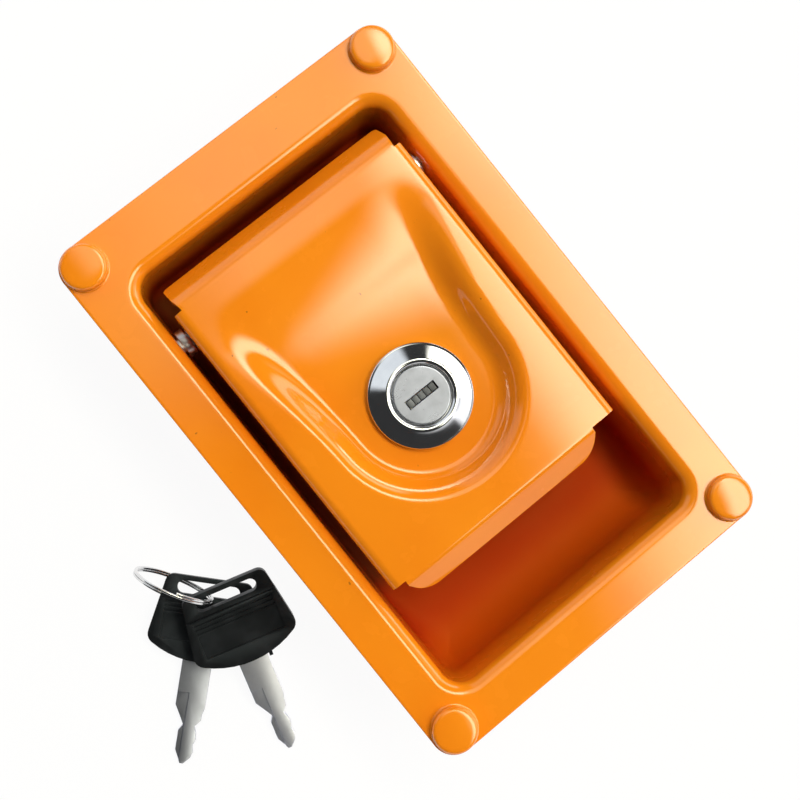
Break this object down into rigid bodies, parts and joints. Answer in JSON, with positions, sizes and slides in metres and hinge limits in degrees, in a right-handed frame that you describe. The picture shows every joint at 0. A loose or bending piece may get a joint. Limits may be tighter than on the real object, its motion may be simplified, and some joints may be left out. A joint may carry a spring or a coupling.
{
  "type": "paddle door lock",
  "caption": "Recessed paddle lock for a machine's side door: pressed pan with finger pocket, hinged paddle with key cylinder, and a spring bolt that the paddle pulls back.",
  "frame": {"origin": "centre of the four mounting studs on the back plane of the flange", "axes": "+Z out of the face, +X along the hinge pin, +Y towards the hinge end; the lock lies on its back"},
  "size_m": [0.167, 0.165, 0.05],
  "materials": {
    "orange_paint": "glossy enamel",
    "zinc_plate": "bright zinc plated",
    "spring_steel": "oiled spring steel",
    "bolt_steel": "ground steel",
    "chrome": "polished chrome",
    "satin_zinc": "satin die-cast",
    "wafer_brass": "plain brass",
    "key_nickel": "nickel plated",
    "ring_steel": "polished nickel",
    "key_plastic": "moulded"
  },
  "bodies": {
    "housing": {"pan": "orange_paint", "mounting_studs": "orange_paint", "rear_tray": "zinc_plate", "hinge_pin": "zinc_plate", "hinge_spacers": "zinc_plate", "pin_clips": "spring_steel", "torsion_spring": "spring_steel", "bolt_guide_front": "zinc_plate", "bolt_guide_rear": "zinc_plate", "guide_rivets": "zinc_plate", "spring_rod": "zinc_plate", "bolt_spring": "spring_steel", "key_ring": "ring_steel"},
    "handle": {"paddle": "orange_paint", "drive_bracket": "zinc_plate", "drive_pin": "bolt_steel", "lock_body": "chrome", "lock_washer": "zinc_plate", "lock_nut": "zinc_plate"},
    "plug": {"lock_plug": "satin_zinc", "lock_wafers": "wafer_brass", "lock_cam": "zinc_plate", "cam_washer": "zinc_plate", "cam_screw": "zinc_plate"},
    "bolt": {"slam_bolt": "bolt_steel"},
    "key_1": {"key_1_blade": "key_nickel", "key_1_head": "key_plastic"},
    "key_2": {"key_2_blade": "key_nickel", "key_2_head": "key_plastic"}
  },
  "joints": [
    {"name": "paddle_lift", "type": "hinge", "parent": "housing", "child": "handle", "pos_m": [0, 0.046, -0.008], "axis": [-1, 0, 0], "range_deg": [0, 38], "stiffness_Nm_per_rad": 0.35, "springref_deg": -28.65, "deforming": ["torsion_spring"]},
    {"name": "bolt_slide", "type": "slide", "parent": "housing", "child": "bolt", "axis": [0, -1, 0], "range_m": [0, 0.016], "deforming": ["bolt_spring"]},
    {"name": "key_turn", "type": "hinge", "parent": "handle", "child": "plug", "pos_m": [0, -0.0035, 0], "axis": [0, 0, -1], "range_deg": [0, 90]},
    {"name": "key_1_swing", "type": "hinge", "parent": "housing", "child": "key_1", "pos_m": [-0.08116, -0.00452, -0.04074], "axis": [-0.0309, -0.0283, 0.9991], "range_deg": [-6, 3]},
    {"name": "key_2_swing", "type": "hinge", "parent": "housing", "child": "key_2", "pos_m": [-0.07961, -0.01127, -0.031], "axis": [-0.0679, -0.2322, 0.9703], "range_deg": [-6, 4]}
  ],
  "couplings": [
    {"joint": "bolt_slide", "follows": "paddle_lift", "m_per_rad": 0.024}
  ]
}
